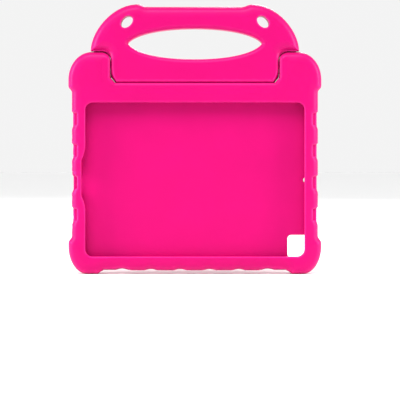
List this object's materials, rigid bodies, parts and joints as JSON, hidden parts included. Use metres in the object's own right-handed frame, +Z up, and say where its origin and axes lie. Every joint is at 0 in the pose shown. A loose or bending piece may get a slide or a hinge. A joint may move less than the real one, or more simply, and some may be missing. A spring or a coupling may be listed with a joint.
{
  "type": "tablet case",
  "caption": "Moulded foam tablet case with a screen window, finger notches and corner bumps, and a carry handle that folds back behind it as a stand.",
  "frame": {"origin": "under the middle of the case, on the surface that its two lower corner bumps stand on, midway between the front of the lip and the back of the pad", "axes": "+X to the right seen from the front, +Y to the back, +Z up with the handle raised"},
  "size_m": [0.275, 0.025, 0.2932],
  "materials": {
    "case_foam": "hot pink moulded closed-cell foam, satin skin with a fine grain",
    "handle_foam": "hot pink moulded closed-cell foam, satin skin with a fine grain",
    "axle_plastic": "drawn grey nylon rod, lightly polished by turning",
    "hinge_plastic": "moulded pink plastic, fine matt texture"
  },
  "bodies": {
    "case": {"case_body": "case_foam", "axle_socket_left": "hinge_plastic", "axle_socket_right": "hinge_plastic"},
    "handle": {"handle_grip": "handle_foam", "hinge_axle": "axle_plastic", "handle_bush_left": "hinge_plastic", "handle_bush_right": "hinge_plastic"}
  },
  "joints": [
    {"name": "handle_fold", "type": "hinge", "parent": "case", "child": "handle", "pos_m": [0, -0.0015, 0.22], "axis": [-1, 0, 0], "range_deg": [0, 120]}
  ]
}
